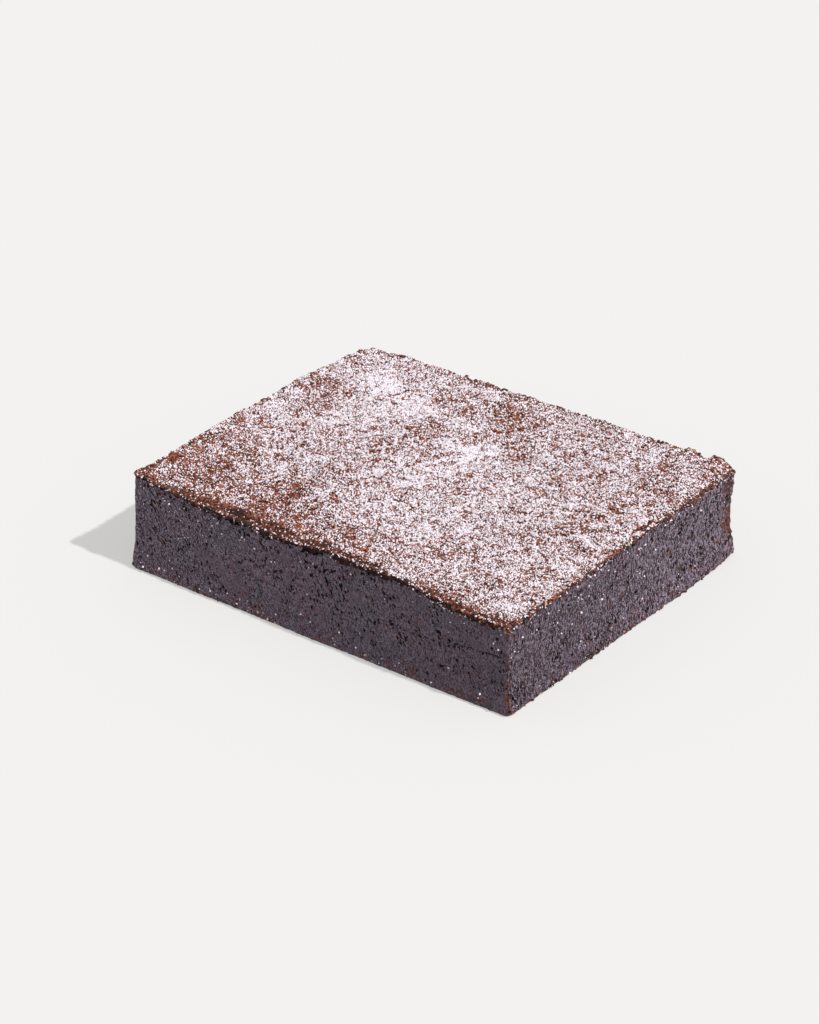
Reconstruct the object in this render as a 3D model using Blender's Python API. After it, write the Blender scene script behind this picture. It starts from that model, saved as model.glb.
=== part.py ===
# A square-cut slab of chocolate brownie, lying flat on its base.
# Metres, +Z up. The origin is on the underside, below the middle of the slab's box.
# X runs along the longer cut sides, Y along the shorter ones.

from math import cos, exp, pi, sin

import bmesh
import bpy
from mathutils import Vector

# Driving dimensions of the slab.
LENGTH = 0.092
WIDTH = 0.077
HEIGHT = 0.020

# Edge roundings: the crust's rim, the cut upright edges and the foot.
RIM_RADIUS = 0.0007
UPRIGHT_RADIUS = 0.0010
FOOT_RADIUS = 0.0014

# The cut sides draw in a little at half height.
WAIST_DEPTH = 0.0003

# How far each corner of the crust stands above or below the nominal height.
CORNER_RISE = {(-1, -1): 0.0010, (-1, 1): -0.0003, (1, 1): -0.0005, (1, -1): -0.0003}

# The slab spreads where it stands: how far each foot corner stands out of each of its sides.
FOOT_SPREAD = {(-1, -1): 0.0011, (-1, 1): 0.0005, (1, 1): 0.0005, (1, -1): 0.0001}
FOOT_SPREAD_HEIGHT = 0.0080

# The crust rose unevenly: long low swells, and one small swelling at a corner.
SWELL_HEIGHT = 0.0003
SWELL_LENGTH = 0.034
CORNER_SWELLING = 0.0012
CORNER_SWELLING_PLACE = Vector((LENGTH / 2 - 0.001, WIDTH / 2 - 0.003))
CORNER_SWELLING_REACH = 0.0060

# The knife wandered: each cut side bows by this much along its length.
KNIFE_WANDER = 0.0003

# Largest facet on the crust and the sides.
CELL = 0.0026
ROUNDING_STEPS = (0.35, 1.0)

CRUMB_COLOUR = (0.070, 0.052, 0.066, 1.0)
CRUMB_ROUGHNESS = 0.9


def clear_scene():
    for thing in list(bpy.data.objects):
        bpy.data.objects.remove(thing, do_unlink=True)


def cut_places(half, radius):
    """Places of the cuts along one axis: close together in the roundings, then even."""
    inner = half - radius
    count = max(2, round(2 * inner / CELL))
    places = [-inner + 2 * inner * step / count for step in range(count + 1)]
    for part in ROUNDING_STEPS[:-1]:
        places += [half - radius * part, -half + radius * part]
    return places


def cut_block():
    """A block the size of the slab, cut into cells by planes along all three axes."""
    block = bmesh.new()
    bmesh.ops.create_cube(block, size=1.0)
    bmesh.ops.scale(block, vec=(LENGTH, WIDTH, HEIGHT), verts=block.verts)
    halves = (LENGTH / 2, WIDTH / 2, HEIGHT / 2)
    radii = (UPRIGHT_RADIUS, UPRIGHT_RADIUS, FOOT_RADIUS)
    for axis in range(3):
        normal = Vector((axis == 0, axis == 1, axis == 2))
        for place in cut_places(halves[axis], radii[axis]):
            everything = block.verts[:] + block.edges[:] + block.faces[:]
            bmesh.ops.bisect_plane(block, geom=everything, plane_co=normal * place, plane_no=normal)
    bmesh.ops.translate(block, vec=(0, 0, HEIGHT / 2), verts=block.verts)
    return block


def rounded(point):
    """The point drawn in from the block's sharp edges on to their roundings."""
    radius = RIM_RADIUS if point.z > HEIGHT / 2 else FOOT_RADIUS
    reach = max(radius, UPRIGHT_RADIUS)
    core = Vector((
        max(-LENGTH / 2 + reach, min(LENGTH / 2 - reach, point.x)),
        max(-WIDTH / 2 + reach, min(WIDTH / 2 - reach, point.y)),
        max(radius, min(HEIGHT - radius, point.z)),
    ))
    away = point - core
    scaled = Vector((away.x / reach, away.y / reach, away.z / radius))
    if scaled.length > 1.0:
        scaled.normalize()
    return core + Vector((scaled.x * reach, scaled.y * reach, scaled.z * radius))


def between_corners(amounts, x, y):
    """The amount at one place of the plan, shared out from those at the four corners."""
    u = 0.5 + x / LENGTH
    v = 0.5 + y / WIDTH
    total = 0.0
    for (side_x, side_y), amount in amounts.items():
        share_x = u if side_x > 0 else 1 - u
        share_y = v if side_y > 0 else 1 - v
        total += amount * share_x * share_y
    return total


def crust_height(x, y):
    """Height of the crust above the underside at one place of the plan."""
    rise = between_corners(CORNER_RISE, x, y)
    turn = 2 * pi / SWELL_LENGTH
    swell = SWELL_HEIGHT * (sin(turn * x + 0.8) * cos(turn * y * 1.3) + 0.6 * sin(turn * (x - y) * 0.7))
    gap = (Vector((x, y)) - CORNER_SWELLING_PLACE).length / CORNER_SWELLING_REACH
    return HEIGHT + rise + swell + CORNER_SWELLING * exp(-gap * gap)


def side_spread(x, y, z):
    """How far a cut side stands out from its nominal plane at one place."""
    foot = between_corners(FOOT_SPREAD, x, y) * exp(-(z / FOOT_SPREAD_HEIGHT) ** 2)
    return foot - WAIST_DEPTH * sin(pi * z / HEIGHT)


def shaped(point):
    """One point of the rounded block moved to its place on the brownie."""
    x, y, z = rounded(point)
    lift = z / HEIGHT
    height = z + (crust_height(x, y) - HEIGHT) * lift * lift
    spread = side_spread(x, y, z)
    across = x / (LENGTH / 2)
    along = y / (WIDTH / 2)
    bow_x = KNIFE_WANDER * sin(1.7 * pi * y / WIDTH + 0.5)
    bow_y = KNIFE_WANDER * sin(2.1 * pi * x / LENGTH + 0.3)
    return Vector((
        x + across * spread + across * bow_x * lift,
        y + along * spread + along * bow_y * lift,
        height,
    ))


def flatten_underside(block):
    """The underside is one flat face, from the foot's rounding inwards."""
    under = [face for face in block.faces if all(abs(vert.co.z) < 1e-7 for vert in face.verts)]
    bmesh.ops.dissolve_faces(block, faces=under, use_verts=False)


def centre_over_origin(block):
    """The middle of the slab's box stands above the origin."""
    for axis in range(2):
        places = [vert.co[axis] for vert in block.verts]
        middle = (min(places) + max(places)) / 2
        for vert in block.verts:
            vert.co[axis] -= middle


def crumb_material():
    material = bpy.data.materials.new("brownie_crumb")
    material.use_nodes = True
    shader = material.node_tree.nodes["Principled BSDF"]
    shader.inputs["Base Color"].default_value = CRUMB_COLOUR
    shader.inputs["Roughness"].default_value = CRUMB_ROUGHNESS
    shader.inputs["Metallic"].default_value = 0.0
    return material


def make_brownie():
    block = cut_block()
    for vert in block.verts:
        vert.co = shaped(vert.co)
    flatten_underside(block)
    centre_over_origin(block)
    bmesh.ops.recalc_face_normals(block, faces=block.faces)
    mesh = bpy.data.meshes.new("brownie")
    block.to_mesh(mesh)
    block.free()
    mesh.materials.append(crumb_material())
    mesh.shade_smooth()
    brownie = bpy.data.objects.new("brownie", mesh)
    bpy.context.scene.collection.objects.link(brownie)
    return brownie


clear_scene()
make_brownie()
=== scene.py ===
from functools import partial
from math import cos, pi, radians, sin

import bmesh
import bpy
import numpy as np
from mathutils import Matrix, Vector, noise


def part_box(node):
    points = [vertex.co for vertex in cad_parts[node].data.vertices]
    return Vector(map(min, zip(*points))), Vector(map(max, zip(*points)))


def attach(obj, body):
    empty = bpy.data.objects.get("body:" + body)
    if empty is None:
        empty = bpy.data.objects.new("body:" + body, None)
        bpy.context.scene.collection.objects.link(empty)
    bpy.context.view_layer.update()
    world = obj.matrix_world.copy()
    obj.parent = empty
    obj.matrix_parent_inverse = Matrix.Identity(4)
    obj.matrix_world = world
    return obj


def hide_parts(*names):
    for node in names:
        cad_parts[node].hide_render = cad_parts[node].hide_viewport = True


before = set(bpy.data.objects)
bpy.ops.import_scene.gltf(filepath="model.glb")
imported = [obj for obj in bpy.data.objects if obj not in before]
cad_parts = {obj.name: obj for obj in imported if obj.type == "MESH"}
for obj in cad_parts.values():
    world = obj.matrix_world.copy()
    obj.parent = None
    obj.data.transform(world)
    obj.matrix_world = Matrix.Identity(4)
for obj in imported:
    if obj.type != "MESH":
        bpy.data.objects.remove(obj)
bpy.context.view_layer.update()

mm = 0.001
low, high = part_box("brownie")
print("frame loaded, slab box", [round(b - a, 4) for a, b in zip(low, high)])

# the slab as it was cut: X along the long sides, Y along the short ones
slab = {
    "footRoom": 0.7 * mm,  # the foot spreads this far past the cut sides
    "riseRoom": 1.1 * mm,  # the highest swelling of the crust above the nominal height
    "uprightRadius": 0.6 * mm,
    "bakedRadius": 1.7 * mm,  # the corner that was the pan's corner
    "footRadius": 0.6 * mm,
    "bakedFoot": 2.4 * mm,
    "bakedReach": 5.0 * mm,  # how far along the edge from that corner its foot and lip differ
    "footTuck": 0.85,  # how much of its rounding the foot has
    "lidInset": 2.5 * mm,  # how far in the hidden lids between crumb and crust lie
    "footReach": 5.0 * mm,
    # at each corner of the plan: the crust's rise, how far the sides pull in, and how far the foot spreads
    "cornerRise": {(-1, -1): 0.9 * mm, (-1, 1): -0.3 * mm, (1, 1): -0.2 * mm, (1, -1): -0.4 * mm},
    "waist": {(-1, -1): -0.35 * mm, (-1, 1): 0.2 * mm, (1, 1): -0.25 * mm, (1, -1): 0.2 * mm},
    "footSpread": {(-1, -1): 1.2 * mm, (-1, 1): 0.5 * mm, (1, 1): 1.4 * mm, (1, -1): 0.65 * mm},
}
halfX = (high[0] - low[0]) / 2 - slab["footRoom"]
halfY = (high[1] - low[1]) / 2 - slab["footRoom"]
height = high[2] - slab["riseRoom"]
longSide, shortSide = 2 * halfX, 2 * halfY
bakedCorner = longSide + shortSide  # its distance along the edge, which starts at the front left corner
perimeter = 2 * bakedCorner


def betweenCorners(amounts, x, y):
    u = np.clip(0.5 + x / longSide, 0, 1)
    v = np.clip(0.5 + y / shortSide, 0, 1)
    total = 0 * u
    for (sideX, sideY), amount in amounts.items():
        total = total + amount * (u if sideX > 0 else 1 - u) * (v if sideY > 0 else 1 - v)
    return total


def bump(x, y, placeX, placeY, long, wide, turn=0.0):
    # 1 at the place, fading to nothing over an oval of that size; place and size in mm
    dx, dy = x - placeX * mm, y - placeY * mm
    c, s = cos(radians(turn)), sin(radians(turn))
    along, across = (dx * c + dy * s) / (long * mm), (dy * c - dx * s) / (wide * mm)
    return np.exp(-(along ** 2 + across ** 2))


def softNoise(rows, cols, cell, wide, tall, seed, tilt=0.0):
    # random blotches about wide by tall in size, which meet at both ends so that they close round the slab
    white = np.random.default_rng(seed).standard_normal((rows, cols))
    fy = np.fft.fftfreq(rows, cell)[:, None]
    fx = np.fft.fftfreq(cols, cell)[None, :]
    c, s = cos(radians(tilt)), sin(radians(tilt))
    spread = ((fx * c + fy * s) * wide) ** 2 + ((fy * c - fx * s) * tall) ** 2
    blurred = np.fft.ifft2(np.fft.fft2(white) * np.exp(-1.2 * spread)).real
    return blurred / blurred.std()


def blotchFields(kinds, rows, cols, cell):
    # one field for each kind of unevenness, from its width and height in mm, its seed and perhaps a tilt
    return {name: softNoise(rows, cols, cell, wide * mm, tall * mm, seed, *tilt)
            for name, (wide, tall, seed, *tilt) in kinds.items()}


def smoothStep(start, end, value):
    t = np.clip((value - start) / (end - start), 0, 1)
    return t * t * (3 - 2 * t)


# long swells of the crust, and the places where its rim is raised or sunk
swells = {
    "height": 0.22 * mm,
    "length": 34 * mm,
    "places": [  # place, length and width, rise; mm
        (-20, -38.5, 15, 6, -0.6), (-7, -38.5, 6, 5, -0.55), (12, -38.5, 16, 6, 0.65),
        (4, -38.5, 5, 5, 0.55), (36, -38.5, 7, 5, -0.35), (46, -18, 6, 14, -0.45), (-46, 0, 6, 24, 0.5),
        (-46, -27, 6, 5, 0.45), (-46, 14, 6, 8, 0.35), (-46, 38.5, 6, 6, -1.5), (12, 38.5, 8, 6, 0.5),
        (31, 38.5, 9, 6, 0.5), (41.5, 37.5, 3.2, 4, 1.25), (46, 38.5, 2, 2, -0.75), (-46, 6, 6, 42, 0.4),
        (-41, 38.5, 6, 3, -0.45), (-9, 38.5, 4, 3, -0.4), (36, 38.5, 1.6, 2, 0.8),
        (39, 38.5, 1.4, 2, -0.8),
    ],
}


def crustHeight(x, y):
    turn = 2 * pi / swells["length"]
    swell = np.sin(turn * x + 0.8) * np.cos(turn * 1.3 * y) + 0.6 * np.sin(turn * 0.7 * (x - y))
    total = height + betweenCorners(slab["cornerRise"], x, y) + swells["height"] * swell
    for *oval, rise in swells["places"]:
        total = total + rise * mm * bump(x, y, *oval)
    return total


def outline(s):
    # place on the slab's plan and the direction outwards, at a distance along its edge
    s = np.asarray(s, float) % perimeter
    sides = [s < longSide, s < bakedCorner, s < bakedCorner + longSide]
    x = np.select(sides, [s - halfX, halfX + 0 * s, halfX - (s - bakedCorner)], -halfX)
    y = np.select(sides, [-halfY + 0 * s, s - longSide - halfY, halfY + 0 * s],
                  halfY - (s - bakedCorner - longSide))
    return roundCorner(x, y)


def alongOutline(x, y):
    # the distance along the edge of the place on it nearest to x, y
    gaps = np.stack([halfY + y, halfX - x, halfY - y, halfX + x])
    places = np.stack([x + halfX, longSide + y + halfY, bakedCorner + halfX - x,
                       bakedCorner + longSide + halfY - y])
    return np.take_along_axis(places, gaps.argmin(axis=0)[None], 0)[0]


def roundCorner(x, y):
    r = np.where((x > 0) & (y > 0), slab["bakedRadius"], slab["uprightRadius"])
    coreX = np.clip(x, -halfX + r, halfX - r)
    coreY = np.clip(y, -halfY + r, halfY - r)
    dx, dy = x - coreX, y - coreY
    away = np.maximum(np.hypot(dx, dy), 1e-9)
    reach = np.minimum(away, r)
    return coreX + dx / away * reach, coreY + dy / away * reach, dx / away, dy / away


def onLongSide(s):
    return s % bakedCorner < longSide


def nearBakedCorner(s, reach):
    return np.exp(-((s % perimeter - bakedCorner) / reach) ** 2)


def sideSpread(x, y, z):
    foot = betweenCorners(slab["footSpread"], x, y) * np.exp(-(z / slab["footReach"]) ** 2)
    return foot - betweenCorners(slab["waist"], x, y) * np.sin(pi * np.clip(z / height, 0, 1))


def footTuck(s, z):
    # how far the foot's rounding draws the side in
    extra = slab["bakedFoot"] - slab["footRadius"]
    radius = slab["footRadius"] + extra * nearBakedCorner(s, slab["bakedReach"])
    tuck = radius - np.sqrt(np.maximum(0, radius ** 2 - np.clip(radius - z, 0, radius) ** 2))
    return slab["footTuck"] * tuck


# the crust's edge hangs over the crumb as a torn lip, with a shadowed gap under it in places
# places are along the edge from the front left corner, with half lengths and amounts; mm
lip = {
    # its rings, with how far out in mm and down as a share of the drop
    "profile": [(0.12, 0.12), (0.22, 0.34), (0.25, 0.58), (0.19, 0.82), (0.04, 1.0), (-0.35, 1.0)],
    "drop": 0.72 * mm,
    "leastDrop": 0.22 * mm,
    "shorter": 0.42,  # the lip of the short sides is less deep by this share
    "shortStart": 3 * mm,
    "uneven": 0.26 * mm,
    "tears": (3.4 * mm, 1.0 * mm, 0.6),  # length of long and short ones, and the strength of the short
    "wave": 0.14 * mm,
    "waves": (5.0 * mm, 1.4 * mm, 0.5),  # the same of its wave in and out
    "deepPlaces": [
        (3, 4, -0.25), (22, 5, 0.3), (31, 3, 0.3), (42, 5, 0.2), (47, 3, 0.4), (53, 3, 0.3), (61, 5, 0.2),
        (72, 5, 0.2), (81, 8, 0.35), (90, 3, 0.3), (100, 5, 0.3), (113, 6, 0.25), (126, 5, 0.3),
        (152, 7, 1), (163, 4, 0.7), (200, 9, 0.5), (285, 8, 0.4),
    ],
    "gapDepth": 0.04 * mm,
    "gapPlaces": [
        (20, 3, 0.25), (27, 4, 0.35), (37, 4, 0.25), (46, 2.6, 0.6), (53.3, 1.6, 0.6), (59.5, 3.5, 0.55),
        (67, 4, 0.25), (78, 4, 0.2), (121, 9, 0.15), (215, 12, 0.3),
    ],
    "gapTears": (1.5 * mm, 0.7),  # length and strength
    "gapReach": 0.55 * mm,  # how far down the gap is deepest, and how far below that it fades out
    "quietCorner": 0.85,  # the baked corner has less of the wave
    "quietReach": 4 * mm,
    "cornerReach": 0.80 * mm,  # and leans out, the lip less than the crumb
    "cornerShare": 0.55,
    "cornerLength": 8 * mm,
    "cornerTight": 0.7,  # its lip stands out less, by this share
    "rough": (0.05 * mm, 0.14 * mm),  # of the smooth rings at the rim and underneath, and of the torn ones
    "sugared": (0.36, 0.54),  # cover at the rim of the long and the short sides
    "sugarFade": 0.25,
    # painted shadow along the lip, most at these places; the negative one lightens it
    "darkPlaces": [
        (4, 6, -0.4), (24, 5, 0.4), (33, 5, 0.5), (43, 6, 0.9), (52, 6, 0.9), (61, 5, 0.7), (72, 7, 0.5),
        (82, 6, 0.3),
    ],
}


def alongPlaces(s, places):
    total = 0 * s
    for place, reach, amount in places:
        total = total + amount * np.exp(-((s - place * mm) / (reach * mm)) ** 2)
    return total


def aroundNoise(s, length, seed):
    count = 4096
    swings = softNoise(1, count, perimeter / count, length, 1.0, seed)[0]
    return np.interp(s % perimeter, np.arange(count) * perimeter / count, swings, period=perimeter)


def lipDrop(s):
    long, short, share = lip["tears"]
    tear = lip["uneven"] * (aroundNoise(s, long, 5) + share * aroundNoise(s, short, 6))
    onShort = smoothStep(0, lip["shortStart"], s % bakedCorner - longSide)
    drop = lip["drop"] * (1 - lip["shorter"] * onShort)
    return np.maximum(drop + tear + alongPlaces(s, lip["deepPlaces"]) * mm, lip["leastDrop"])


def edgeWave(s):
    long, short, share = lip["waves"]
    wave = aroundNoise(s, long, 7) + share * aroundNoise(s, short, 8)
    return lip["wave"] * wave * (1 - lip["quietCorner"] * nearBakedCorner(s, lip["quietReach"]))


def cornerLean(s):
    return lip["cornerReach"] * nearBakedCorner(s, lip["cornerLength"])


def lipWave(s):
    return edgeWave(s) + lip["cornerShare"] * cornerLean(s)


def gapDepth(s):
    length, share = lip["gapTears"]
    torn = np.clip(0.8 + share * aroundNoise(s, length, 9), 0, 1.6)
    return lip["gapDepth"] + alongPlaces(s, lip["gapPlaces"]) * mm * torn


def toLinear(code):
    # sRGB hex to the linear colour that shaders take
    parts = [int(code[i:i + 2], 16) / 255 for i in (1, 3, 5)]
    return tuple(p / 12.92 if p <= 0.04045 else ((p + 0.055) / 1.055) ** 2.4 for p in parts) + (1.0,)


def setInputs(node, inputs):
    # inputs by name, or as a tuple in the order of the node's sockets
    for name, value in inputs.items() if isinstance(inputs, dict) else enumerate(inputs):
        if isinstance(value, bpy.types.NodeSocket):
            node.id_data.links.new(value, node.inputs[name])
        else:
            node.inputs[name].default_value = value


def addNode(tree, kind, inputs, output=0, **settings):
    # a shader node with its settings and links, of which one output is handed on
    node = tree.nodes.new("ShaderNode" + kind)
    for name, value in settings.items():
        setattr(node, name, value)
    setInputs(node, inputs)
    return node.outputs[output]


def newMaterial(name):
    material = bpy.data.materials.new(name)
    material.use_nodes = True
    add = partial(addNode, material.node_tree)
    return material, material.node_tree.nodes["Principled BSDF"], add, add("TexCoord", {}, "Object")


def softBlotches(add, place, size, detail, start, end):
    # blotches of about that size, which fade in from one level of their noise to another
    level = add("TexNoise", {"Vector": place, "Scale": 1 / size, "Detail": detail})
    return add("MapRange", (level, start, end))


def layered(add, base, layers):
    # colours laid one over another, each by its own amount
    base = toLinear(base)
    for amount, colour in layers:
        base = add("Mix", {0: amount, 6: base, 7: toLinear(colour)}, 2, data_type="RGBA")
    return base


crumbLook = {
    "cut": "#574755",  # cut crumb, grey-violet where the knife dragged fat over it
    "cool": "#504754",  # the same, bluer in soft patches
    "bloom": "#8b7d8c",  # the lightest drag marks, also laid as painted light on the short side's far end
    "shade": "#1f171b",  # the darkest ones, also laid as painted shade towards the front right corner
    "fat": "#584957",  # smooth pressed patches
    "deep": "#060101",  # painted shade inside a pore
    "rust": "#5d2f22",  # cocoa-brown flecks
    "ring": "#2c1715",  # brown edge of a pore
    "wander": (0.5 * mm, 0.30 * mm),  # the marks sway over this length by this much
    "crowd": 5 * mm,
    "grain": 0.30 * mm,
    "longStreak": (0.22 * mm, 0.85 * mm),  # width and length of a drag mark on the long sides
    "shortStreak": (0.25 * mm, 0.95 * mm),
    "lean": -28,
    # spacing across and along the drag in mm, the widest as a share of it, and how many cells have none
    "pores": [((1.8, 2.9), 0.16, 0.34), ((1.0, 1.8), 0.25, 0.30), ((0.62, 1.15), 0.33, 0.26)],
    "flecks": ((1.30, 1.90), 0.26, 0.60),
    "ringWidth": 1.35,
    "poreEdge": (0.30, 0.50),  # painted shade: a modelled pore turns dark from one depth to the other
    "ragged": 0.60,  # how uneven the edges of pores and flecks are
    "crowding": 1.5,  # how strongly they gather
    "longMarks": 0.52,  # strength of the drag marks
    "shortMarks": 1.0,
    "bloomLevels": (1.025, 1.11),  # the pale marks fade in between these levels of the noise
    "shadeLevels": (0.98, 0.88),
    "bolder": (50 * mm, 85 * mm, 1.0, 1.5),  # the marks get stronger this far from the front right corner
    "calm": 0.45,  # how much of all this a smooth patch hides
    "calmFoot": (-3.0 * mm, 7.0 * mm),  # the long sides have fewer pores from here down
    "coolPatches": (7 * mm, 2.0, 0.42, 0.60),
    "bareBrown": (0.32 * mm, 1.00 * mm),  # brown drag marks, on the short sides only
    "brownLevels": (0.555, 0.60),
    "paintedLightEnd": (-10 * mm, 38 * mm),  # painted light: the short side gets paler from here to here
    "paintedLightMost": 0.48,
    "paintedShadeCorner": (44 * mm, 8 * mm, 0.0, 0.24),  # painted shade: both get a little darker towards the front right corner
    "roughness": 0.62,
    "specular": 0.20,
    "relief": 0.15 * mm,
    "markRelief": 0.35,
}


def draggedPlace(add, ground, longSize, shortSize):
    # coordinates drawn out along the knife's path, in units of a mark's width and length
    leaning = add("Mapping",
                      {"Vector": ground["wander"], "Rotation": (0.0, radians(crumbLook["lean"]), 0.0),
                       "Scale": (longSize[0], longSize[0], longSize[1])}, vector_type="TEXTURE")
    standing = add("Mapping",
                       {"Vector": ground["wander"], "Scale": (shortSize[0], shortSize[0], shortSize[1])},
                       vector_type="TEXTURE")
    return add("Mix", {0: ground["upright"], 4: leaning, 5: standing}, 1, data_type="VECTOR")


def scatteredDots(add, ground, spacing, widest, shut):
    # distance to the nearest dot of a scattering, and the dot's own radius, nothing for many of them
    look = crumbLook
    size = (spacing[0] * mm, spacing[1] * mm)
    distance = add("TexVoronoi", {"Vector": draggedPlace(add, ground, size, size), "Scale": 1.0})
    luck = add("SeparateColor", {"Color": distance.node.outputs["Color"]})
    chance = add("Math", (ground["crowd"], look["crowding"], luck), operation="MULTIPLY_ADD")
    middle = look["crowding"] / 2
    radius = add("MapRange", (chance, shut + middle, 1.0 + middle, 0.0, widest))
    ragged = add("Math", (ground["grain"], look["ragged"], distance), operation="MULTIPLY_ADD")
    return add("Math", (ragged, look["ragged"] / 2), operation="SUBTRACT"), radius


def dragMarks(add, ground, rough, away):
    # the tone of the marks, and how strongly the pale and the dark ones show
    look = crumbLook
    marks = add("MapRange", (ground["upright"], 0.0, 1.0, look["longMarks"], look["shortMarks"]))
    bolder = add("MapRange", (away, *look["bolder"]))
    for share in (rough, bolder):
        marks = add("Math", (marks, share), operation="MULTIPLY")
    dragged = draggedPlace(add, ground, look["longStreak"], look["shortStreak"])
    streaks = add("TexNoise", {"Vector": dragged, "Scale": 1.0, "Detail": 1.0})
    tone = add("Math", (streaks, ground["grain"]), operation="ADD")
    bloom, shade = (add("MapRange", (tone, *levels, 0.0, marks))
                    for levels in (look["bloomLevels"], look["shadeLevels"]))
    return tone, bloom, shade


def crumbTints(add, ground, across, away):
    # soft changes of tone over the sides, painted light towards the short side's far end, painted shade
    # towards the front right corner, and the bare brown drag marks
    look = crumbLook
    cool = softBlotches(add, ground["place"], *look["coolPatches"])
    paintedLightMost = add("Math", (ground["upright"], look["paintedLightMost"]), operation="MULTIPLY")
    pale = add("MapRange", (across, *look["paintedLightEnd"], 0.0, paintedLightMost))
    cornerShade = add("MapRange", (away, *look["paintedShadeCorner"]))
    dragged = draggedPlace(add, ground, look["bareBrown"], look["bareBrown"])
    brown = add("TexNoise", {"Vector": dragged, "Scale": 1.0, "Detail": 1.0})
    brown = add("MapRange", (brown, *look["brownLevels"], 0.0, ground["upright"]))
    return cool, pale, cornerShade, brown


def crumbMaterial():
    # dense baked chocolate crumb, knife-cut: dull grey-violet skin with fine drag marks, pores in crisp
    # near-black painted shade, cocoa-brown flecks; the marks lean on the long sides and stand upright on the
    # short ones;
    # painted light pales the short side's far end, and painted shade darkens both sides towards the front
    # right corner
    material, shader, add, place = newMaterial("cutBrownieCrumb")
    look = crumbLook
    pore, smear, rust, upright = (add("Attribute", {}, "Fac", attribute_name=name)
                                  for name in ("pore", "smear", "rust", "upright"))
    swayLength, sway = look["wander"]
    wander = add("TexNoise", {"Vector": place, "Scale": 1 / swayLength, "Detail": 1.0}, "Color")
    wander = add("VectorMath", (wander, (sway,) * 3, place), operation="MULTIPLY_ADD")
    ground = {"place": place, "wander": wander, "upright": upright}
    for name in ("crowd", "grain"):
        ground[name] = add("TexNoise", {"Vector": place, "Scale": 1 / look[name], "Detail": 1.0})
    rough = add("MapRange", (smear, 0.0, 1.0, 1.0, 1 - look["calm"]))
    away = add("VectorMath", (place, (halfX, -halfY, 0.0)), "Value", operation="DISTANCE")
    across, upwards = (add("SeparateXYZ", {"Vector": place}, axis) for axis in "YZ")
    tone, bloom, shade = dragMarks(add, ground, rough, away)
    cool, pale, cornerShade, brown = crumbTints(add, ground, across, away)
    distance, radius = scatteredDots(add, ground, *look["flecks"])
    fleck = add("Math", (distance, radius), operation="LESS_THAN")
    # the short side's paler far end is painted light, the darkening towards the front right corner painted
    # shade
    layers = [(cool, "cool"), (smear, "fat"), (pale, "bloom"), (bloom, "bloom"), (cornerShade, "shade"),
              (shade, "shade"), (brown, "ring"), (rust, "rust"), (fleck, "rust")]
    footCalm = add("MapRange", (upwards, *look["calmFoot"]))
    footCalm = add("Math", (footCalm, upright), operation="MAXIMUM")
    rough = add("Math", (rough, footCalm), operation="MULTIPLY")
    # painted shade: the pores, cracks and hollows are laid near black over the crumb's colour
    holes = add("MapRange", (pore, *look["poreEdge"]))
    for dots in look["pores"]:
        distance, radius = scatteredDots(add, ground, *dots)
        radius = add("Math", (radius, rough), operation="MULTIPLY")
        rim = add("Math", (radius, look["ringWidth"]), operation="MULTIPLY")
        ring, hole = (add("Math", (distance, reach), operation="LESS_THAN") for reach in (rim, radius))
        holes = add("Math", (holes, hole), operation="MAXIMUM")
        layers.append((ring, "ring"))
    layers.append((holes, "deep"))
    base = layered(add, look["cut"], [(amount, look[name]) for amount, name in layers])
    gloss = add("MapRange", (holes, 0.0, 1.0, look["roughness"], 1.0))
    swell = add("Math", (tone, look["markRelief"]), operation="MULTIPLY")
    swell = add("Math", (swell, holes), operation="SUBTRACT")
    relief = add("Bump", {"Strength": 0.8, "Distance": look["relief"], "Height": swell})
    setInputs(shader, {"Base Color": base, "Specular IOR Level": look["specular"], "Roughness": gloss,
                       "Normal": relief})
    return material


crustLook = {
    "baked": "#7b4136",
    "pale": "#a06655",
    "dark": "#2a120f",
    "rust": "#a85a2b",
    # dark crust and painted shade: the lip, the painted shadow where the rim dips, and the cracks
    "darkCrustAndShade": "#281718",
    "powder": "#f6ecf1",
    # size of the blotches, their fineness, and the levels of their noise between which they fade in
    "paleBlotches": (2.0 * mm, 3.0, 0.38, 0.62),
    "rustBlotches": (0.7 * mm, 1.0, 0.585, 0.635),
    "darkSpecks": (0.42 * mm, 1.0, 0.535, 0.44),
    "powderGrain": 0.21 * mm,  # coarser than real icing sugar, which is too fine to show
    "haze": (0.44, 0.95),  # how white the powder is, from a thin cover to a full one
    "thinCover": 0.60,
    "powderEdge": (0.78, 0.47),  # how much of the noise shows as powder, from no sugar to a full cover
    "powderBlur": 0.07,
    "roughness": (0.5, 0.95),  # of bare crust, and of powder or of dark crust and painted shade
    "specular": 0.15,
    "relief": 0.12 * mm,
}


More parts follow.
